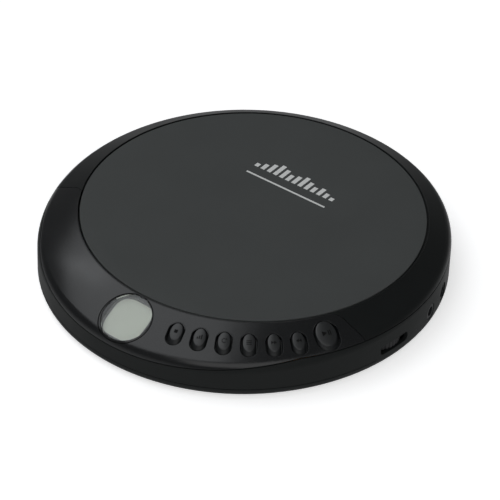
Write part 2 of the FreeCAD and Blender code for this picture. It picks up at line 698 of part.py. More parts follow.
def capacitors():
    """Upright capacitors on the main board."""
    return group([cyl(CAPACITOR_R, PCB_Z[1], CAPACITOR_TOP, x, y) for x, y in CAPACITOR_PLACES])


def rubber_feet():
    """Four rubber feet let into the bottom shell."""
    feet = []
    for x, y in FEET:
        foot = cyl(FOOT_R, 0, CASE_Z + FOOT_SINK, x, y)
        feet.append(foot.makeFillet(0.4, [e for e in foot.Edges if e.BoundBox.ZMax < 0.01]))
    return group(feet)


def cross_screw(x, y, head_r, head_z, z_end):
    """Screw with a cross recess; head_z is its head's lower and upper height, shank to z_end."""
    low, high = head_z
    shank = cyl(SHANK_R, min(z_end, low), max(z_end, high), x, y)
    outer_face = low if z_end > high else high
    blades = [box(x - a, x + a, y - b, y + b, outer_face - 0.5, outer_face + 0.5)
              for a, b in ((0.25, 1.0), (1.0, 0.25))]
    return fuse([cyl(head_r, low, high, x, y), shank]).cut(group(blades[:1])).cut(blades[1])


def case_screws():
    """Four screws that join the bottom shell to the cabinet."""
    return group([cross_screw(x, y, CASE_HEAD_R, CASE_HEAD_Z, CASE_SCREW_END)
                  for x, y in CASE_SCREWS])


def dampers():
    """Three soft grommets that carry the drive chassis."""
    grommets = []
    for x, y in DAMPERS:
        wide, waist, bore = DAMPER_R
        rings = [ring(wide, bore, DAMPER_Z[0], CHASSIS_Z[0], x, y)]
        rings.append(ring(waist, bore, CHASSIS_Z[0], CHASSIS_Z[1], x, y))
        rings.append(ring(wide, bore, CHASSIS_Z[1], DAMPER_Z[1], x, y))
        grommets.append(fuse(rings))
    return group(grommets)


def damper_screws():
    """Three screws through the grommets into the bottom shell."""
    return group([cross_screw(x, y, DAMPER_HEAD_R, DAMPER_HEAD_Z, DAMPER_SCREW_END)
                  for x, y in DAMPERS])


def drive_chassis():
    """Pressed plate that carries the spindle motor, the rods and the feed gears."""
    plate = box(-CHASSIS_HALF, CHASSIS_HALF, *CHASSIS_Y, *CHASSIS_Z)
    corners = [e for e in plate.Edges if abs(e.Length - (CHASSIS_Z[1] - CHASSIS_Z[0])) < 0.01]
    plate = plate.makeFillet(CHASSIS_CORNER, corners)
    posts = [box(s * ROD_X - ROD_POST_HALF, s * ROD_X + ROD_POST_HALF, *ends,
                 CHASSIS_Z[1], CHASSIS_POST_TOP) for s in (-1, 1) for ends in ROD_POST_Y]
    gx, mx = gear_centre(), motor_centre()
    axle = cyl(AXLE_R, CHASSIS_Z[1], CHASSIS_POST_TOP, gx[0], gx[1])
    shell = fuse([plate] + posts + [axle])
    cuts = [cyl(DAMPER_R[1] + RUNNING, 0, 20, x, y) for x, y in DAMPERS]
    cuts += [cyl(3.5, 0, 12, 0, DISC_Y), cyl(1.0, 0, 12, mx[0], mx[1])]
    cuts += [box(*window, 0, 12) for window in CHASSIS_WINDOWS]
    cuts += [Part.makeCylinder(ROD_R + 0.01, 70, Vector(s * ROD_X, -66, ROD_Z), Y_AXIS)
             for s in (-1, 1)]
    return shell.cut(group(cuts))


def guide_rods():
    """Two polished rods that the pickup runs on."""
    length = ROD_Y[1] - ROD_Y[0]
    return group([Part.makeCylinder(ROD_R, length, Vector(s * ROD_X, ROD_Y[0], ROD_Z), Y_AXIS)
                  for s in (-1, 1)])


def spindle_motor():
    """Flat motor under the chassis, bored for its shaft."""
    can = cyl(MOTOR_R, MOTOR_Z[0], MOTOR_Z[1], 0, DISC_Y)
    can = can.makeFillet(0.8, [e for e in can.Edges if e.BoundBox.ZMax < MOTOR_Z[0] + 0.01])
    boss = cyl(BOSS_R, MOTOR_Z[1], BOSS_TOP, 0, DISC_Y)
    return fuse([can, boss]).cut(cyl(SHAFT_R + RUNNING, MOTOR_Z[0] + 0.8, 20, 0, DISC_Y))


def spindle_shaft():
    """Motor shaft."""
    return cyl(SHAFT_R, MOTOR_Z[0] + 1.0, BALL_Z, 0, DISC_Y)


def turntable():
    """Platter with the nose that centres the disc."""
    stem = cyl(HUB_STEM_R, HUB_STEM_Z, TURNTABLE_Z[0], 0, DISC_Y)
    platter = cyl(TURNTABLE_R, TURNTABLE_Z[0], TURNTABLE_Z[1], 0, DISC_Y)
    nose = cyl(NOSE_R, TURNTABLE_Z[1], NOSE_TOP, 0, DISC_Y)
    nose = nose.makeFillet(0.9, [e for e in nose.Edges if e.BoundBox.ZMin > NOSE_TOP - 0.01])
    bores = [cyl(SHAFT_R + 0.005, 5, BALL_Z, 0, DISC_Y)]
    for x, y in ball_centres():
        bores.append(Part.makeSphere(BALL_R + RUNNING, Vector(x, y, BALL_Z)))
    return fuse([stem, platter, nose]).cut(group(bores[:1])).cut(group(bores[1:]))


def ball_centres():
    """Places of the three balls round the nose."""
    places = []
    for i in range(3):
        a = math.radians(90 + 120 * i)
        reach = NOSE_R - BALL_INSET
        places.append((reach * math.cos(a), DISC_Y + reach * math.sin(a)))
    return places


def clamp_balls():
    """Three balls that snap into the disc's hole."""
    return group([Part.makeSphere(BALL_R, Vector(x, y, BALL_Z)) for x, y in ball_centres()])


def pickup_sled():
    """Carriage of the laser pickup, bored for one rod and open for the other."""
    y0, y1 = LENS_Y - SLED_FRONT, LENS_Y + SLED_BACK
    block = box(-SLED_HALF, SLED_HALF, y0, y1, *SLED_Z)
    waist = [box(s * 9.5 - 3.5, s * 9.5 + 3.5, y0 + 6, y1 - 6, SLED_Z[0] - 1, SLED_Z[0] + 0.5)
             for s in (-1, 1)]
    round_bore = Part.makeCylinder(ROD_R + RUNNING, 40, Vector(ROD_X, y0 - 5, ROD_Z), Y_AXIS)
    open_bore = box(-SLED_HALF - 1, -ROD_X + 1.2, y0 - 1, y1 + 1, ROD_Z - 1.06, ROD_Z + 1.06)
    pocket = box(-POCKET_HALF, POCKET_HALF, LENS_Y - POCKET_HALF, LENS_Y + POCKET_HALF, POCKET_Z, 20)
    return block.cut(group(waist)).cut(group([round_bore, open_bore, pocket]))


def rack_profile():
    """Rack outline in plan: teeth that point to +X, with a gap at the gear."""
    pitch = math.pi * MODULE
    tip, root = RACK_X + ADDENDUM * MODULE, RACK_X - DEDENDUM * MODULE
    start, count = GEAR_Y - 1.5 * pitch, 25
    points = [Vector(SLED_HALF, start - pitch / 2, 0)]
    for i in range(count):
        middle = start + i * pitch
        for part, x in ((-TOOTH_ROOT, root), (-TOOTH_TIP, tip), (TOOTH_TIP, tip), (TOOTH_ROOT, root)):
            points.append(Vector(x, middle + part * pitch, 0))
    points.append(Vector(SLED_HALF, start + (count - 0.5) * pitch, 0))
    return points


def feed_rack():
    """Toothed rack on the side of the carriage."""
    points = rack_profile()
    face = Part.Face(Part.makePolygon(points + points[:1]))
    face.translate(Vector(0, 0, RACK_Z[0]))
    return face.extrude(Vector(0, 0, RACK_Z[1] - RACK_Z[0]))


def gear(teeth, centre, tooth_deg, z0, z1):
    """Spur gear with one tooth centred on an angle."""
    pitch_r = MODULE * teeth / 2
    tip, root = pitch_r + ADDENDUM * MODULE, pitch_r - DEDENDUM * MODULE
    points = []
    for i in range(teeth):
        for part, r in ((-TOOTH_ROOT, root), (-TOOTH_TIP, tip), (TOOTH_TIP, tip), (TOOTH_ROOT, root)):
            a = math.radians(tooth_deg + (i + part) * 360 / teeth)
            points.append(Vector(centre[0] + r * math.cos(a), centre[1] + r * math.sin(a), z0))
    face = Part.Face(Part.makePolygon(points + points[:1]))
    return face.extrude(Vector(0, 0, z1 - z0))


def gear_centre():
    """Axis of the double feed gear, in mesh with the rack."""
    return RACK_X + MODULE * PINION_TEETH / 2, GEAR_Y


def motor_centre():
    """Axis of the feed motor, in mesh with the large gear."""
    distance = MODULE * (GEAR_TEETH + MOTOR_TEETH) / 2
    a = math.radians(GEAR_ANGLE_DEG)
    x, y = gear_centre()
    return x + distance * math.cos(a), y + distance * math.sin(a)


def feed_gear():
    """Double gear: the small one drives the rack, the large one meets the motor's pinion."""
    centre = gear_centre()
    small = gear(PINION_TEETH, centre, 180.0, RACK_Z[0], GEAR_Z[0])
    large = gear(GEAR_TEETH, centre, GEAR_ANGLE_DEG, GEAR_Z[0], GEAR_Z[1])
    return fuse([small, large]).cut(cyl(AXLE_R + RUNNING, 0, 20, *centre))


def motor_pinion():
    """Pinion and shaft of the feed motor."""
    centre = motor_centre()
    pinion = gear(MOTOR_TEETH, centre, GEAR_ANGLE_DEG + 180 + 180 / MOTOR_TEETH, GEAR_Z[0] - 0.2,
                  GEAR_Z[1] + 0.2)
    radius, bottom = FEED_SHAFT
    return fuse([pinion, cyl(radius, bottom, GEAR_Z[1] + 0.2, *centre)])


def feed_motor():
    """Small motor under the chassis that feeds the pickup."""
    x, y = motor_centre()
    radius, bottom = FEED_SHAFT
    can = cyl(FEED_MOTOR_R, FEED_MOTOR_Z, CHASSIS_Z[0], x, y)
    return can.cut(cyl(radius + RUNNING, bottom - 0.2, CHASSIS_Z[1], x, y))


def lens_holder():
    """Moving holder of the focus lens."""
    half_x, half_y = HOLDER_HALF
    body = box(-half_x, half_x, LENS_Y - half_y, LENS_Y + half_y, *HOLDER_Z)
    tower = cyl(TOWER_R, HOLDER_Z[1], TOWER_TOP, 0, LENS_Y)
    return fuse([body, tower]).cut(cyl(LENS_R + 0.01, 14.0, 20, 0, LENS_Y))


def lens():
    """Focus lens."""
    glass = cyl(LENS_R, LENS_Z[0], LENS_Z[1], 0, LENS_Y)
    return glass.makeFillet(0.6, [e for e in glass.Edges if e.BoundBox.ZMin > LENS_Z[1] - 0.01])


def battery_door(outer):
    """Sliding door of the battery bay, with a tongue along each side."""
    door = outer.common(box(-DOOR_X, DOOR_X, DOOR_Y0, BIG, 0, DOOR_TOP))
    reach = DOOR_X + TONGUE
    tongue = outer.common(box(-reach, reach, DOOR_Y0, TONGUE_END, TONGUE_BOTTOM, DOOR_TOP))
    grips = [box(-7, 7, y, y + 0.8, 0, CASE_Z + 0.35) for y in GRIP_YS]
    return fuse([door, tongue]).cut(group(grips))


def battery_contacts():
    """Four contact plates at the ends of the cells."""
    plates = []
    for y in CONTACT_YS:
        for x0 in (BAY_X - 1.2, -BAY_X + 0.1):
            plates.append(box(x0, x0 + 1.1, y - 4, y + 4, *CONTACT_Z))
    return group(plates)


def lid_switch():
    """Switch on the main board's edge that senses the closed lid."""
    radius, top, x, y = SWITCH_PIN
    return fuse([box(*SWITCH_BOX, PCB_Z[1], SWITCH_TOP), cyl(radius, SWITCH_TOP, top, x, y)])


def build():
    """All nodes of the player."""
    outer = envelope(0)
    nodes = {
        "bottom_case": bottom_case(outer),
        "mid_case": mid_case(outer),
        "front_fascia": fascia(outer),
        "display_window": display_window(outer),
        "lcd_holder": lcd_holder(),
        "lcd_panel": lcd_panel(),
        "key_board": key_board(),
        "key_domes": key_domes(),
        "button_play": button(PLAY_HOLE, PLAY_R, PLAY_DEG),
        "lid_shell": lid_shell(outer),
        "lid_panel": lid_panel(),
        "lid_liner": lid_liner(),
        "lid_hook": lid_hook(),
        "open_slide": open_slide(),
        "hinge_pins": hinge_pins(),
        "volume_wheel": volume_wheel(),
        "volume_pot": volume_pot(),
        "phones_jack": phones_jack(),
        "dc_inlet": dc_inlet(),
        "main_pcb": main_pcb(),
        "chips": chips(),
        "capacitors": capacitors(),
        "rubber_feet": rubber_feet(),
        "case_screws": case_screws(),
        "dampers": dampers(),
        "damper_screws": damper_screws(),
        "drive_chassis": drive_chassis(),
        "guide_rods": guide_rods(),
        "spindle_motor": spindle_motor(),
        "spindle_shaft": spindle_shaft(),
        "turntable": turntable(),
        "clamp_balls": clamp_balls(),
        "pickup_sled": pickup_sled(),
        "feed_rack": feed_rack(),
        "feed_gear": feed_gear(),
        "motor_pinion": motor_pinion(),
        "feed_motor": feed_motor(),
        "lens_holder": lens_holder(),
        "lens": lens(),
        "battery_door": battery_door(outer),
        "battery_contacts": battery_contacts(),
        "lid_switch": lid_switch(),
    }
    for name, angle in zip(BUTTON_NAMES, button_angles()):
        nodes["button_" + name] = button(BUTTON_HOLE, BUTTON_R, angle)
    return nodes


os.makedirs("parts", exist_ok=True)
for node_name, shape in build().items():
    solids = shape.Solids
    print(node_name, len(solids), shape.isValid(), round(shape.Volume, 1))
    shape.exportStep("parts/" + node_name + ".step")
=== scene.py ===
import math

import bmesh
import bpy
from mathutils import Matrix, Vector
from mathutils.bvhtree import BVHTree


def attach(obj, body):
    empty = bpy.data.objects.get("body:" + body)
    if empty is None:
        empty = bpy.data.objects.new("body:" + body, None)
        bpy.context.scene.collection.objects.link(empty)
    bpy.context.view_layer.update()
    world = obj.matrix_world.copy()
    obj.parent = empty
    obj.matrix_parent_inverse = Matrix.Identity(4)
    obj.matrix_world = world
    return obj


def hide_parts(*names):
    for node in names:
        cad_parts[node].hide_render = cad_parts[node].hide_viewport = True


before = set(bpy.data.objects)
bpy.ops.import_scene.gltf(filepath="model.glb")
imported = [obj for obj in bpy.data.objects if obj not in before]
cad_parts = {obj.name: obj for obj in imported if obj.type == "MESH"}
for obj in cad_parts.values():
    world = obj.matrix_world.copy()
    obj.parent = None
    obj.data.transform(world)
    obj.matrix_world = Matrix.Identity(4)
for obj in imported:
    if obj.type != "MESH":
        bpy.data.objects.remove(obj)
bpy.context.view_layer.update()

# Lengths are in millimetres and angles in degrees, unless a comment says otherwise
MM = 0.001

# Camera, at the photograph's viewing angle
CAMERA_PLACE = (498.53, -687.09, 653.21)
CAMERA_AZIMUTH = 35.829
CAMERA_ELEVATION = 37.26
CAMERA_ROLL = 2.262
CAMERA_LENS = 216.0
SENSOR = 36.0
# Nearest and farthest distance drawn, in metres
CLIP_M = (0.05, 50.0)

# Form of the case, as in the CAD model; the slope is in radians
DISC_Y = 4.6
GROOVE_R = 62.0
RIM_Z = 21.4
SLOPE = math.radians(26.0)
PANEL_TOP = 21.5
PANEL_R = 61.4

# Points round each kind of outline
CAP_POINTS = 56
RING_STEPS = 160
SWEEP_STEPS = 240
PANEL_POINTS = 288
SMOOTH_ANGLE = 40.0

# Keys; a hole is (width, length) and a top is (half width, half length, shift up the slope, bulge)
BUTTON_R = 69.8
BUTTON_FIRST = -75.0
BUTTON_STEP = 7.0
BUTTON_NAMES = ("stop", "bass", "mode", "program", "next", "previous")
PLAY_R = 68.9
PLAY_ANGLE = -31.6
BUTTON_HOLE = (5.4, 8.4)
PLAY_HOLE = (8.4, 11.0)
BUTTON_TOP = (2.10, 3.20, 0.93, 0.26)
PLAY_TOP = (3.55, 4.55, 0.85, 0.55)
CAP_GAP = 0.25
CAP_TILT = 0.05
CAP_EDGE_Z = -0.14
CAP_WALL = 0.3
# Rings of the skirt as (share of the way to the base, drop below the rim), and of the dome by scale
CAP_SKIRT = ((0.80, 1.05), (0.45, 0.62), (0.16, 0.26), (0.04, 0.08))
CAP_DOME = (0.97, 0.90, 0.78, 0.62, 0.45, 0.28, 0.12)
FLANGE_TOP = -1.9
FLANGE_BOTTOM = -2.7
FLANGE_REACH = 0.5
SKIN_GAP = 0.02
STEM_R = 1.2
STEM_END = -3.1
MARK_LIFT = (-0.06, 0.05)
MARK_ARC_STEPS = 14

# Seats that close the upper end of each key's mouth
MOUTH_REACH = 0.3
SEAT_SPAN = (-14.0, 194.0)
SEAT_STEPS = 48
SEAT_GAP = 0.10
SEAT_RAMP = 1.9
SEAT_TIP = 0.02
SEAT_SOFT = 0.25
SEAT_ROOT = 0.5
# Heights of the seat's underside, inner edge and top
SEAT_Z = (-0.45, -0.10, -0.012)

# Lid trim and print
LIP_R = (62.03, 62.41)
LIP_TOP = 21.42
LIP_POINTS = 8
LIP_DEPTH = 0.9
LIP_SINK = 0.6
LID_LIP_SPAN = (-26.5, 206.5)
FASCIA_LIP_SPAN = (209.8, 330.2)
FADE_STEPS = 3
PANEL_T = 0.78
PANEL_FACE = 21.48
# Rounded edge as (inset, drop), then the flat face by share of the radius
PANEL_EDGE = ((0.0, 0.16), (0.03, 0.07), (0.10, 0.02), (0.22, 0.0))
PANEL_RINGS = (0.9, 0.6, 0.3, 0.05)
PRINT_X = -17.0
PRINT_Y = 27.5
PRINT_PITCH = 2.75
PRINT_BAR = 1.65
PRINT_HEIGHTS = (2.0, 3.4, 5.2, 6.6, 5.4, 3.8, 4.8, 6.2, 4.6, 3.2, 4.4, 2.8, 1.8)
PRINT_LINE_Y = 22.6
PRINT_LINE = 0.8
PRINT_ROOT = 0.05

# Window; a power of 2 makes a round outline and a higher one a squarer outline
DISPLAY_R = 70.6
DISPLAY_ANGLE = -90.5
MASK_R = 9.08
MASK_OPENING = 7.95
MASK_POWER = 3.2
MASK_Z = (-3.30, -1.56)
MASK_TAPER = 0.05
LCD_HALF = 8.0
LCD_POWER = 4.0
LCD_Z = (-3.88, -3.34)
LCD_EDGE = 0.1
WINDOW_RING_PLACE = 71.05
WINDOW_RING = (9.52, 9.88)
WINDOW_RING_LIFT = (-0.10, 0.03)

# Disc well and turntable
WELL_FLOOR = 15.3
WELL_RIDGES = ((19.5, 20.7), (38.0, 38.9), (57.6, 59.0))
WELL_RIDGE_SPAN = ((-70.0, 250.0), (-77.0, 257.0), (-81.0, 261.0))
RIDGE_ROOT = 0.1
RIDGE_SIDE = 0.15
RIDGE_HEIGHT = 0.18
RIDGE_STEPS = 120
PLATTER_TOP = 17.0
PAD_R = (9.0, 12.8)
PAD_ROOT = 0.05
PAD_SIDE = 0.20
PAD_HEIGHT = 0.28
PAD_EDGE = 0.2
PAD_STEPS = 96

# Material textures: feature sizes, bump depths, and the part of each noise that is used
SLOW_MM = 22.0
SCRATCH_MM = 2.2
SCRATCH_STRETCH = (1, 14, 14)
HAZE_MM = 6.0
GRAIN_DEPTH = 0.05
RIPPLE_DEPTH = 0.4
HAZE_DEPTH = 0.1
NOISE_SPAN = (0.35, 0.65)
SCRATCH_SPAN = (0.62, 0.72)
EDGE_SAMPLES = 4
HAZE_ROUGHNESS = 0.03
HAZE_SHADE = 0.97
HAZE_BUMP = 0.02
# Crown shaded on the fascia: radius where it is level with the slope, and its fall per metre squared
CROWN_R = 68.5
CROWN = 9.0

# Floor and light
FLOOR_REACH = 6000.0
FLOOR_GLOW = 0.58
WORLD_COLOUR = (0.98, 0.99, 1.0, 1.0)
WORLD_STRENGTH = 0.12
WORLD_LOW_STRENGTH = 0.52
WORLD_FADE = (-0.35, 0.05)
COOL = (0.95, 0.975, 1.0)
WHITE = (1.0, 1.0, 1.0)
# Each light's direction, distance, width and depth in metres, radiance, colour, and whether it is mirrored
LIGHTS = {
    "overhead": ((-0.40, -0.22, 0.89), 1.6, 1.75, 1.45, 1.32, COOL, True),
    "left_card": ((-0.72, 0.24, 0.65), 1.6, 0.80, 0.50, 0.90, COOL, True),
    "front": ((0.50, -0.62, 0.66), 2.2, 2.3, 1.5, 0.95, WHITE, True),
    "front_fill": ((0.50, -0.62, 0.66), 2.2, 2.3, 1.5, 0.95, WHITE, False),
}


# ---------------------------------------------------------------- materials

def add_node(tree, kind, **inputs):
    """New node with some of its input sockets set."""
    made = tree.nodes.new(kind)
    for name, value in inputs.items():
        made.inputs[name.replace("_", " ")].default_value = value
    return made


def spread(tree, source, low, high, span=NOISE_SPAN):
    """Map a span of a 0 to 1 value to a range."""
    made = tree.nodes.new("ShaderNodeMapRange")
    for name, value in (("From Min", span[0]), ("From Max", span[1]), ("To Min", low), ("To Max", high)):
        made.inputs[name].default_value = value
    tree.links.new(source, made.inputs["Value"])
    return made.outputs["Result"]


def noise(tree, place, size_mm, detail=3.0, stretch=(1, 1, 1)):
    """Noise texture with features of a given size."""
    mapping = tree.nodes.new("ShaderNodeMapping")
    mapping.inputs["Scale"].default_value = stretch
    tree.links.new(place, mapping.inputs["Vector"])
    made = tree.nodes.new("ShaderNodeTexNoise")
    made.inputs["Scale"].default_value = 1 / (size_mm * MM)
    made.inputs["Detail"].default_value = detail
    tree.links.new(mapping.outputs["Vector"], made.inputs["Vector"])
    return made.outputs["Fac"]


def combine(tree, kind, operation, first, second):
    """Math or vector math node on a socket and a second socket or plain value."""
    made = tree.nodes.new(kind)
    made.operation = operation
    tree.links.new(first, made.inputs[0])
    if isinstance(second, bpy.types.NodeSocket):
        tree.links.new(second, made.inputs[1])
    else:
        made.inputs[1].default_value = second
    return made.outputs[0]


def mixed_colour(tree, factor, low, high):
    """Colour between two others."""
    mix = tree.nodes.new("ShaderNodeMix")
    mix.data_type = "RGBA"
    mix.inputs["A"].default_value = (*low, 1)
    mix.inputs["B"].default_value = (*high, 1)
    tree.links.new(factor, mix.inputs["Factor"])
    return mix.outputs["Result"]


def bumped(tree, height, strength, depth, normal=None):
    """Normal with a bump on it, from a height and its depth in metres."""
    bump = add_node(tree, "ShaderNodeBump", Strength=strength, Distance=depth)
    tree.links.new(height, bump.inputs["Height"])
    if normal:
        tree.links.new(normal, bump.inputs["Normal"])
    return bump.outputs["Normal"]


def crowned(tree, place, amount, normal):
    """Normal of a slight crown across the slope: flatter inside CROWN_R and steeper outside it."""
    centred = combine(tree, "ShaderNodeVectorMath", "ADD", place, (0.0, -DISC_Y * MM, 0.0))
    flat = combine(tree, "ShaderNodeVectorMath", "MULTIPLY", centred, (1.0, 1.0, 0.0))
    length = tree.nodes.new("ShaderNodeVectorMath")
    length.operation = "LENGTH"
    tree.links.new(flat, length.inputs[0])
    past = combine(tree, "ShaderNodeMath", "SUBTRACT", length.outputs["Value"], CROWN_R * MM)
    square = combine(tree, "ShaderNodeMath", "MULTIPLY", past, past)
    height = combine(tree, "ShaderNodeMath", "MULTIPLY", square, -amount)
    return bumped(tree, height, 1.0, 1.0, normal)


def surface(name, colour, rough, specular=0.5, metallic=0.0, grain_mm=0.25, grain=0.1, ripple=0.0,
            smudge=0.08, tone=0.10, scratch=0.0, bevel=0.18, glow=0.0, crown=0.0):
    """Procedural material: moulded grain, slow colour and gloss changes, fine scratches, soft edges."""
    material = bpy.data.materials.new(name)
    material.use_nodes = True
    tree = material.node_tree
    shader = tree.nodes["Principled BSDF"]
    shader.inputs["Metallic"].default_value = metallic
    shader.inputs["Specular IOR Level"].default_value = specular
    shader.inputs["Emission Strength"].default_value = glow
    place = tree.nodes.new("ShaderNodeTexCoord").outputs["Object"]
    slow = noise(tree, place, SLOW_MM)
    fine = noise(tree, place, grain_mm, detail=2.0)

    both = combine(tree, "ShaderNodeMath", "ADD", slow, fine)
    factor = spread(tree, combine(tree, "ShaderNodeMath", "MULTIPLY", both, 0.5), 0, 1)
    darker = [c * (1 - tone) for c in colour]
    lighter = [min(1, c * (1 + tone)) for c in colour]
    tree.links.new(mixed_colour(tree, factor, darker, lighter), shader.inputs["Base Color"])

    gloss = spread(tree, slow, rough - smudge / 2, rough + smudge / 2)
    if scratch:
        lines = noise(tree, place, SCRATCH_MM, detail=6.0, stretch=SCRATCH_STRETCH)
        marks = spread(tree, lines, 0, scratch, SCRATCH_SPAN)
        gloss = combine(tree, "ShaderNodeMath", "ADD", gloss, marks)
    tree.links.new(gloss, shader.inputs["Roughness"])

    edge = add_node(tree, "ShaderNodeBevel", Radius=bevel * MM)
    edge.samples = EDGE_SAMPLES
    normal = edge.outputs["Normal"]
    if crown:
        normal = crowned(tree, place, crown, normal)
    normal = bumped(tree, fine, grain, GRAIN_DEPTH * MM, normal)
    if ripple:
        normal = bumped(tree, slow, ripple, RIPPLE_DEPTH * MM, normal)
    tree.links.new(normal, shader.inputs["Normal"])
    return material


def glass(name, tint, ior, rough=0.02):
    """Clear plastic or glass with faint haze."""
    material = bpy.data.materials.new(name)
    material.use_nodes = True
    tree = material.node_tree
    shader = tree.nodes["Principled BSDF"]
    shader.inputs["Transmission Weight"].default_value = 1.0
    shader.inputs["IOR"].default_value = ior
    place = tree.nodes.new("ShaderNodeTexCoord").outputs["Object"]
    haze = noise(tree, place, HAZE_MM)
    tree.links.new(spread(tree, haze, rough, rough + HAZE_ROUGHNESS), shader.inputs["Roughness"])
    fainter = [HAZE_SHADE * c for c in tint]
    tree.links.new(mixed_colour(tree, haze, tint, fainter), shader.inputs["Base Color"])
    tree.links.new(bumped(tree, haze, HAZE_BUMP, HAZE_DEPTH * MM), shader.inputs["Normal"])
    return material


MATERIALS = {
    "case_black": surface("case_black", (0.0100, 0.0112, 0.0110), 0.50, specular=0.12, grain=0.35,
                          grain_mm=0.30, smudge=0.10, scratch=0.05),
    "fascia_gloss": surface("fascia_gloss", (0.005, 0.0055, 0.006), 0.23, specular=0.50, grain=0.03,
                            ripple=0.02, smudge=0.06, scratch=0.06, crown=CROWN),
    "lid_satin": surface("lid_satin", (0.006, 0.007, 0.007), 0.33, specular=0.28, grain=0.10,
                         smudge=0.07, scratch=0.05),
    "panel_grey": surface("panel_grey", (0.065, 0.069, 0.068), 0.62, specular=0.15, grain=0.45,
                          grain_mm=0.22, smudge=0.06, tone=0.05),
    "button_black": surface("button_black", (0.011, 0.012, 0.0125), 0.36, specular=0.60, grain=0.12,
                            smudge=0.08, bevel=0.10),
    "inner_black": surface("inner_black", (0.012, 0.013, 0.014), 0.48, specular=0.30, grain=0.30),
    "window": glass("window", (0.96, 0.98, 0.97), 1.45),
    "lens_glass": glass("lens_glass", (0.72, 0.80, 0.95), 1.52),
    # The LCD's glow is painted light: the panel gives off a faint light of its own, standing in for light
    # reaching it through the window.
    "lcd": surface("lcd", (0.47, 0.52, 0.41), 0.30, specular=0.3, grain=0.02, tone=0.05, bevel=0.05,
                   glow=0.12),
    "flex_board": surface("flex_board", (0.35, 0.14, 0.02), 0.40, grain=0.08),
    "contact_metal": surface("contact_metal", (0.72, 0.70, 0.64), 0.24, metallic=1.0, grain=0.04,
                             scratch=0.15),
    "steel": surface("steel", (0.60, 0.61, 0.62), 0.20, metallic=1.0, grain=0.03, scratch=0.12),
    "pressed_steel": surface("pressed_steel", (0.52, 0.53, 0.54), 0.36, metallic=1.0, grain=0.12,
                             grain_mm=1.2, tone=0.16, scratch=0.18),
    "die_cast": surface("die_cast", (0.42, 0.43, 0.44), 0.44, metallic=1.0, grain=0.5, grain_mm=0.6),
    "brass": surface("brass", (0.72, 0.50, 0.20), 0.24, metallic=1.0, grain=0.05, scratch=0.12),
    "gear_white": surface("gear_white", (0.78, 0.77, 0.72), 0.38, grain=0.10, tone=0.03),
    "board_green": surface("board_green", (0.015, 0.10, 0.035), 0.30, grain=0.4, grain_mm=1.0,
                           tone=0.3),
    "board_part": surface("board_part", (0.022, 0.023, 0.025), 0.52, grain=0.3),
    "capacitor": surface("capacitor", (0.03, 0.035, 0.09), 0.30, grain=0.05),
    "rubber_black": surface("rubber_black", (0.020, 0.020, 0.021), 0.62, specular=0.3, grain=0.5),
    "foot_rubber": surface("foot_rubber", (0.030, 0.030, 0.031), 0.80, specular=0.2, grain=0.6,
                           grain_mm=0.4),
    # The marks' near-black colour is painted shade: it stands in for the shade inside the keys' engraved
    # strokes.
    "mark_grey": surface("mark_grey", (0.003, 0.003, 0.003), 0.60, specular=0.12, grain=0.05,
                         bevel=0.03),
    "seal_black": surface("seal_black", (0.003, 0.003, 0.003), 0.70, specular=0.05, grain=0.1),
    # The tunnel's grey is painted light: the mask is coloured lighter to stand in for light shining through
    # the translucent wall of the window's tunnel.
    "tunnel_grey": surface("tunnel_grey", (0.10, 0.105, 0.105), 0.55, specular=0.3, grain=0.2),
    "print_white": surface("print_white", (0.70, 0.71, 0.70), 0.50, specular=0.3, grain=0.1, tone=0.04,
                           bevel=0.02),
    "floor": surface("floor", (0.90, 0.90, 0.90), 0.75, specular=0.05, grain=0.02, grain_mm=2.0,
                     tone=0.01, bevel=0.01, glow=FLOOR_GLOW),
}


def dress(obj, name):
    """Give an object one of the materials."""
    obj.data.materials.clear()
    obj.data.materials.append(MATERIALS[name])


# ---------------------------------------------------------------- meshes

def make_object(name, verts, faces, smooth=True):
    """Mesh object from points in millimetres."""
    mesh = bpy.data.meshes.new(name)
    mesh.from_pydata([tuple(c * MM for c in v) for v in verts], [], faces)
    mesh.validate()
    bm = bmesh.new()
    bm.from_mesh(mesh)
    bmesh.ops.recalc_face_normals(bm, faces=bm.faces)
    bm.to_mesh(mesh)
    bm.free()
    obj = bpy.data.objects.new(name, mesh)
    bpy.context.scene.collection.objects.link(obj)
    if smooth:
        mesh.polygons.foreach_set("use_smooth", [True] * len(mesh.polygons))
        mesh.set_sharp_from_angle(angle=math.radians(SMOOTH_ANGLE))
    return obj


def slope_z(radius):
    """Height of the fascia's slope at a distance from the disc axis."""
    return RIM_Z - (radius - GROOVE_R) * math.tan(SLOPE)


def slope_frame(radius, angle):
    """Matrix from a key's own frame (Y up the slope, Z out of it) to the case's frame."""
    turn = Matrix.Rotation(math.radians(angle + 90), 4, "Z")
    tilt = Matrix.Rotation(SLOPE, 4, "X")
    shift = Matrix.Translation((0, -radius, slope_z(radius)))
    return Matrix.Translation((0, DISC_Y, 0)) @ turn @ shift @ tilt


def placed(points, radius, angle):
    """Points of a slope frame in the case's frame."""
    place = slope_frame(radius, angle)
    return [tuple(place @ Vector(point)) for point in points]


def loft(rings, close_start=True, close_end=True):
    """Points and faces of a skin over rings of equal length."""
    count = len(rings[0])
    verts = [point for ring in rings for point in ring]
    faces = []
    for level in range(len(rings) - 1):
        for i in range(count):
            a = level * count + i
            b = level * count + (i + 1) % count
            faces.append((a, b, b + count, a + count))
    if close_start:
        faces.append(tuple(range(count)))
    if close_end:
        faces.append(tuple(range(len(verts) - count, len(verts))))
    return verts, faces


def closed_loft(rings):
    """Skin over rings that ends where it starts."""
    verts, faces = loft(rings, False, False)
    count = len(rings[0])
    last = len(verts) - count
    for i in range(count):
        j = (i + 1) % count
        faces.append((last + i, last + j, j, i))
    return verts, faces


def add_part(parts, verts, faces):
    """Append one closed form to a list of points and a list of faces."""
    start = len(parts[0])
    parts[0].extend(verts)
    parts[1].extend(tuple(start + i for i in face) for face in faces)


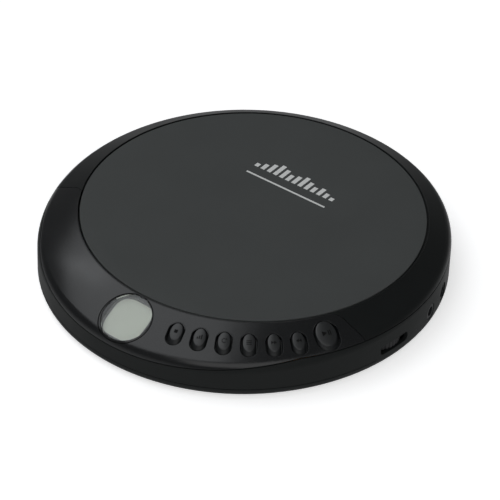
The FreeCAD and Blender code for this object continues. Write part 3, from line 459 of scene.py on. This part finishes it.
def stadium(half_width, half_length, z):
    """Outline with straight sides and round ends."""
    straight = half_length - half_width
    points = []
    for i in range(CAP_POINTS):
        a = 2 * math.pi * (i + 0.5) / CAP_POINTS
        shift = straight if math.sin(a) > 0 else -straight
        points.append((half_width * math.cos(a), half_width * math.sin(a) + shift, z))
    return points


def oval_ring(half_width, half_length, shift, scale, height):
    """Ring of an oval cap; height gives z at each place."""
    points = []
    for i in range(CAP_POINTS):
        a = 2 * math.pi * (i + 0.5) / CAP_POINTS
        x = half_width * scale * math.cos(a)
        y = shift + half_length * scale * math.sin(a)
        points.append((x, y, height(x, y)))
    return points


def cap_height(top):
    """Height of a key's domed top, tilted so that its outer end lies lower."""
    half_width, half_length, shift, bulge = top

    def height(x, y):
        away = (x / half_width) ** 2 + ((y - shift) / half_length) ** 2
        return bulge * (1 - away) + CAP_TILT * (y - shift) + CAP_EDGE_Z
    return height


def cap_rings(base, top, height):
    """Rings of a key cap from its base over the skirt and the dome."""
    rings = [base, [(x, y, z + CAP_WALL) for x, y, z in base]]
    rim = oval_ring(*top[:3], 1.0, height)
    for share, drop in CAP_SKIRT:
        ring = []
        for (rim_x, rim_y, rim_z), (base_x, base_y, base_z) in zip(rim, base):
            ring.append(((1 - share) * rim_x + share * base_x, (1 - share) * rim_y + share * base_y,
                         rim_z - drop))
        rings.append(ring)
    rings += [oval_ring(*top[:3], scale, height) for scale in CAP_DOME]
    return rings


def key_cap(name, hole, top, radius, angle):
    """Pebble shaped key in place of the plain CAD key, with its flange and stem."""
    half_width = hole[0] / 2 - CAP_GAP
    half_length = hole[1] / 2 - CAP_GAP
    height = cap_height(top)
    flange = (half_width + FLANGE_REACH, half_length + FLANGE_REACH)
    parts = ([], [])
    add_part(parts, *loft(cap_rings(stadium(half_width, half_length, FLANGE_TOP), top, height)))
    add_part(parts, *loft([stadium(*flange, z) for z in (FLANGE_BOTTOM, FLANGE_TOP - SKIN_GAP)]))
    add_part(parts, *loft([stadium(STEM_R, STEM_R, z) for z in (STEM_END, FLANGE_BOTTOM - SKIN_GAP)]))
    cap = make_object("cap_" + name, placed(parts[0], radius, angle), parts[1])
    dress(cap, "button_black")
    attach(cap, "button_" + name)
    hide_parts("button_" + name)
    mark(name, height, top[2], radius, angle)


def bar(x0, x1, y0, y1):
    """Rectangle as a polygon."""
    return [(x0, y0), (x1, y0), (x1, y1), (x0, y1)]


def arc_band(r_in, r_out, start, end):
    """Strip along an arc as short quads."""
    turns = [math.radians(start + (end - start) * i / MARK_ARC_STEPS) for i in range(MARK_ARC_STEPS + 1)]
    quads = []
    for a, b in zip(turns, turns[1:]):
        quads.append([(r * math.cos(turn), r * math.sin(turn))
                      for r, turn in ((r_in, a), (r_out, a), (r_out, b), (r_in, b))])
    return quads


def mark_shapes(name):
    """Plain generic symbols for the keys."""
    shapes = {
        "stop": [bar(-0.6, 0.6, -0.6, 0.6)],
        "bass": [bar(-0.9, -0.5, -0.8, -0.1), bar(-0.2, 0.2, -0.8, 0.4), bar(0.5, 0.9, -0.8, 0.9)],
        "mode": arc_band(0.6, 0.85, 40, 320) + [[(0.35, 0.55), (1.1, 0.35), (0.75, 1.0)]],
        "program": [bar(-0.9, 0.9, y, y + 0.28) for y in (-0.8, -0.15, 0.5)],
        "next": [[(-1.0, -0.6), (0.0, 0.0), (-1.0, 0.6)], [(0.0, -0.6), (0.95, 0.0), (0.0, 0.6)]],
        "previous": [[(1.0, -0.6), (1.0, 0.6), (0.0, 0.0)], [(0.0, -0.6), (0.0, 0.6), (-0.95, 0.0)]],
        "play": [[(-1.5, -0.95), (0.15, 0.0), (-1.5, 0.95)], bar(0.55, 0.9, -0.9, 0.9),
                 bar(1.25, 1.6, -0.9, 0.9)],
    }
    return shapes[name]


def mark(name, height, shift, radius, angle):
    """Low raised symbol that follows a key's domed top; its near-black colour is painted shade, standing in
    for the shade inside an engraved stroke.
    """
    parts = ([], [])
    for shape in mark_shapes(name):
        rings = []
        for lift in MARK_LIFT:
            rings.append([(x, y + shift, height(x, y + shift) + lift) for x, y in shape])
        add_part(parts, *loft(rings))
    made = make_object("mark_" + name, placed(parts[0], radius, angle), parts[1], smooth=False)
    dress(made, "mark_grey")
    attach(made, "button_" + name)


def seat_ring(turn, width, hole, top):
    """Section of a key's seat at one turn; width is its share of the way from the mouth to the cap."""
    half_width = hole[0] / 2 + MOUTH_REACH
    half_length = hole[1] / 2 + MOUTH_REACH
    outer = Vector((half_width * math.cos(turn), half_length - half_width * (1 - math.sin(turn))))
    inner = Vector(((top[0] + SEAT_GAP) * math.cos(turn), top[2] + (top[1] + SEAT_GAP) * math.sin(turn)))
    inner = outer + (inner - outer) * width
    soft = inner + (outer - inner) * SEAT_SOFT
    root = outer + (inner - outer) * SEAT_ROOT
    return [(p.x, p.y, SEAT_Z[z]) for p, z in ((outer, 2), (soft, 2), (inner, 1), (inner, 0), (root, 0))]


def key_seat(name, hole, top, radius, angle):
    """Crescent that closes the flared mouth round the upper end of a key."""
    start, end = (math.radians(turn) for turn in SEAT_SPAN)
    rings = []
    for i in range(SEAT_STEPS + 1):
        share = i / SEAT_STEPS
        full = min(1.0, SEAT_RAMP * min(share, 1 - share) + SEAT_TIP)
        width = full * full * (3 - 2 * full)
        ring = seat_ring(start + (end - start) * share, width, hole, top)
        rings.append(placed(ring, radius, angle))
    seat = make_object("seat_" + name, *loft(rings))
    dress(seat, "fascia_gloss")
    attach(seat, "base")


def keys():
    """All seven keys with their seats."""
    places = [(name, BUTTON_HOLE, BUTTON_TOP, BUTTON_R, BUTTON_FIRST + i * BUTTON_STEP)
              for i, name in enumerate(BUTTON_NAMES)]
    places.append(("play", PLAY_HOLE, PLAY_TOP, PLAY_R, PLAY_ANGLE))
    for place in places:
        key_cap(*place)
        key_seat(*place)


def swept_ring(name, profile, start=0.0, end=360.0, steps=SWEEP_STEPS, fade=0.0):
    """Ring round the disc axis with a closed (radius, height) profile; its ends may sink."""
    whole = end - start >= 360
    rings = []
    for i in range(steps if whole else steps + 1):
        share = i / steps
        a = math.radians(start + (end - start) * share)
        sink = 0.0
        if fade and not whole:
            sink = max(0.0, 1 - min(share, 1 - share) * steps / FADE_STEPS) * fade
        rings.append([(r * math.cos(a), DISC_Y + r * math.sin(a), z - sink) for r, z in profile])
    return make_object(name, *(closed_loft(rings) if whole else loft(rings)))


def groove_lips():
    """Narrow rounded lip beside the panel's groove, on the lid and on the fascia."""
    inner, outer = LIP_R
    radius = (outer - inner) / 2
    middle = (outer + inner) / 2
    profile = [(inner, LIP_TOP - LIP_DEPTH)]
    for i in range(LIP_POINTS + 1):
        a = math.pi * (1 - i / LIP_POINTS)
        profile.append((middle + radius * math.cos(a), LIP_TOP - radius * (1 - math.sin(a))))
    profile.append((outer, LIP_TOP - LIP_DEPTH))
    for name, span, body, slot in (("lid_lip", LID_LIP_SPAN, "lid", "lid_satin"),
                                   ("fascia_lip", FASCIA_LIP_SPAN, "base", "fascia_gloss")):
        lip = swept_ring(name, profile, *span, fade=LIP_SINK)
        dress(lip, slot)
        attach(lip, body)


def lid_panel():
    """Lid panel with a softly rounded edge, in place of the plain disc."""
    outline = [(PANEL_R, PANEL_FACE - PANEL_T)]
    outline += [(PANEL_R - inset, PANEL_FACE - drop) for inset, drop in PANEL_EDGE]
    outline += [(PANEL_R * share, PANEL_FACE) for share in PANEL_RINGS]
    rings = []
    for radius, z in outline:
        turns = [2 * math.pi * i / PANEL_POINTS for i in range(PANEL_POINTS)]
        rings.append([(radius * math.cos(a), DISC_Y + radius * math.sin(a), z) for a in turns])
    panel = make_object("panel_disc", *loft(rings))
    dress(panel, "panel_grey")
    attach(panel, "lid")
    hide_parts("lid_panel")


def squircle(half, power, z):
    """Outline between a circle and a square."""
    points = []
    for i in range(RING_STEPS):
        a = 2 * math.pi * i / RING_STEPS
        reach = half / (abs(math.cos(a)) ** power + abs(math.sin(a)) ** power) ** (1 / power)
        points.append((reach * math.cos(a), reach * math.sin(a), z))
    return points


def window_mask():
    """Mask with a squarish opening under the window; its grey is painted light, standing in for light
    shining through the tunnel's wall.
    """
    low, high = MASK_Z
    rings = [squircle(MASK_R, 2, low), squircle(MASK_R, 2, high),
             squircle(MASK_OPENING, MASK_POWER, high), squircle(MASK_OPENING - MASK_TAPER, MASK_POWER, low)]
    rings = [placed(ring, DISPLAY_R, DISPLAY_ANGLE) for ring in rings]
    mask = make_object("window_mask", *closed_loft(rings), smooth=False)
    dress(mask, "tunnel_grey")
    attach(mask, "base")
    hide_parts("lcd_holder")


def lcd_face():
    """Blank panel with rounded corners below the mask; its material glows faintly, which is painted light
    standing in for light reaching it through the window.
    """
    bottom, face = LCD_Z
    rings = [squircle(LCD_HALF, LCD_POWER, bottom), squircle(LCD_HALF, LCD_POWER, face - LCD_EDGE),
             squircle(LCD_HALF - LCD_EDGE, LCD_POWER, face), squircle(LCD_HALF / 2, LCD_POWER, face)]
    rings = [placed(ring, DISPLAY_R, DISPLAY_ANGLE) for ring in rings]
    panel = make_object("lcd_face", *loft(rings), smooth=False)
    dress(panel, "lcd")
    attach(panel, "base")
    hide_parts("lcd_panel")


def window_ring():
    """Thin black line round the window, laid on the fascia and over its shoulder."""
    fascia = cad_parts["front_fascia"].data
    skin = BVHTree.FromPolygons([v.co.copy() for v in fascia.vertices],
                                [tuple(face.vertices) for face in fascia.polygons])
    inner, outer = WINDOW_RING
    sunk, raised = WINDOW_RING_LIFT
    rings = []
    for i in range(RING_STEPS):
        a = 2 * math.pi * i / RING_STEPS
        section = ((inner, sunk), (inner, raised), (outer, raised), (outer, sunk))
        points = placed([(r * math.cos(a), r * math.sin(a), 0) for r, lift in section],
                        WINDOW_RING_PLACE, DISPLAY_ANGLE)
        ring = []
        for point, (r, lift) in zip(points, section):
            nearest, normal, face, distance = skin.find_nearest(Vector(point) * MM)
            ring.append(tuple(nearest / MM + normal * lift))
        rings.append(ring)
    line = make_object("window_ring", *closed_loft(rings), smooth=False)
    dress(line, "seal_black")
    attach(line, "base")


def well_rings():
    """Low ridges moulded in the floor of the disc well."""
    root = WELL_FLOOR - RIDGE_ROOT
    crest = WELL_FLOOR + RIDGE_HEIGHT
    for i, (inner, outer) in enumerate(WELL_RIDGES):
        profile = [(inner, root), (inner + RIDGE_SIDE, crest), (outer - RIDGE_SIDE, crest), (outer, root)]
        ridge = swept_ring(f"well_ridge_{i}", profile, *WELL_RIDGE_SPAN[i], steps=RIDGE_STEPS)
        dress(ridge, "inner_black")
        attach(ridge, "base")


def platter_pad():
    """Thin rubber ring on the turntable."""
    inner, outer = PAD_R
    profile = [(inner, PLATTER_TOP - PAD_ROOT), (inner, PLATTER_TOP + PAD_SIDE),
               (inner + PAD_EDGE, PLATTER_TOP + PAD_HEIGHT), (outer - PAD_EDGE, PLATTER_TOP + PAD_HEIGHT),
               (outer, PLATTER_TOP + PAD_SIDE), (outer, PLATTER_TOP - PAD_ROOT)]
    pad = swept_ring("platter_pad", profile, steps=PAD_STEPS)
    dress(pad, "rubber_black")
    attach(pad, "turntable")


def print_marks():
    """Plain level bars over a thin line, printed on the lid panel."""
    parts = ([], [])
    shapes = []
    for i, tall in enumerate(PRINT_HEIGHTS):
        x = PRINT_X + i * PRINT_PITCH
        shapes.append(bar(x, x + PRINT_BAR, PRINT_Y, PRINT_Y + tall))
    end = PRINT_X + (len(PRINT_HEIGHTS) - 1) * PRINT_PITCH + PRINT_BAR
    shapes.append(bar(PRINT_X, end, PRINT_LINE_Y, PRINT_LINE_Y + PRINT_LINE))
    for shape in shapes:
        rings = [[(x, y, z) for x, y in shape] for z in (PANEL_FACE - PRINT_ROOT, PANEL_TOP)]
        add_part(parts, *loft(rings))
    made = make_object("panel_print", *parts, smooth=False)
    dress(made, "print_white")
    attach(made, "lid")


def floor():
    """Plain pale floor that the glossy parts don't mirror."""
    corners = [(x, y, 0) for x, y in bar(-FLOOR_REACH, FLOOR_REACH, -FLOOR_REACH, FLOOR_REACH)]
    made = make_object("floor", corners, [(0, 1, 2, 3)], smooth=False)
    dress(made, "floor")
    made.visible_glossy = False


# ---------------------------------------------------------------- light and camera

def area_light(name, direction, distance, width, depth, radiance, colour, mirrored):
    """Rectangular softbox that faces the object, of a given brightness."""
    data = bpy.data.lights.new(name, "AREA")
    data.shape = "RECTANGLE"
    data.size = width
    data.size_y = depth
    data.energy = radiance * math.pi * width * depth
    data.color = colour
    light = bpy.data.objects.new(name, data)
    light.location = Vector(direction).normalized() * distance
    light.rotation_mode = "QUATERNION"
    light.rotation_quaternion = (-light.location).to_track_quat("-Z", "Y")
    light.visible_camera = False
    light.visible_glossy = mirrored
    bpy.context.scene.collection.objects.link(light)


def surround():
    """Dim surround, brighter below the horizon."""
    world = bpy.data.worlds.new("studio")
    bpy.context.scene.world = world
    world.use_nodes = True
    tree = world.node_tree
    background = tree.nodes["Background"]
    background.inputs["Color"].default_value = WORLD_COLOUR
    direction = tree.nodes.new("ShaderNodeTexCoord").outputs["Generated"]
    axes = tree.nodes.new("ShaderNodeSeparateXYZ")
    tree.links.new(direction, axes.inputs[0])
    strength = spread(tree, axes.outputs["Z"], WORLD_LOW_STRENGTH, WORLD_STRENGTH, WORLD_FADE)
    tree.links.new(strength, background.inputs["Strength"])


def camera():
    """Camera at the photograph's viewing angle."""
    data = bpy.data.cameras.new("camera")
    data.lens = CAMERA_LENS
    data.sensor_width = SENSOR
    data.clip_start, data.clip_end = CLIP_M
    obj = bpy.data.objects.new("camera", data)
    azimuth = math.radians(CAMERA_AZIMUTH)
    elevation = math.radians(CAMERA_ELEVATION)
    back = Vector((math.sin(azimuth) * math.cos(elevation),
                   -math.cos(azimuth) * math.cos(elevation), math.sin(elevation)))
    right = Vector((math.cos(azimuth), math.sin(azimuth), 0))
    level = Matrix((right, back.cross(right), back)).transposed().to_4x4()
    obj.matrix_world = (Matrix.Translation(Vector(CAMERA_PLACE) * MM) @ level
                        @ Matrix.Rotation(math.radians(CAMERA_ROLL), 4, "Z"))
    bpy.context.scene.collection.objects.link(obj)
    bpy.context.scene.camera = obj


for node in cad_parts.values():
    dress(node, node.data.materials[0].name.split(".")[0])
keys()
groove_lips()
lid_panel()
window_mask()
lcd_face()
window_ring()
well_rings()
platter_pad()
print_marks()
floor()
for light_name, light_values in LIGHTS.items():
    area_light(light_name, *light_values)
surround()
camera()
bpy.context.scene.view_settings.view_transform = "Standard"
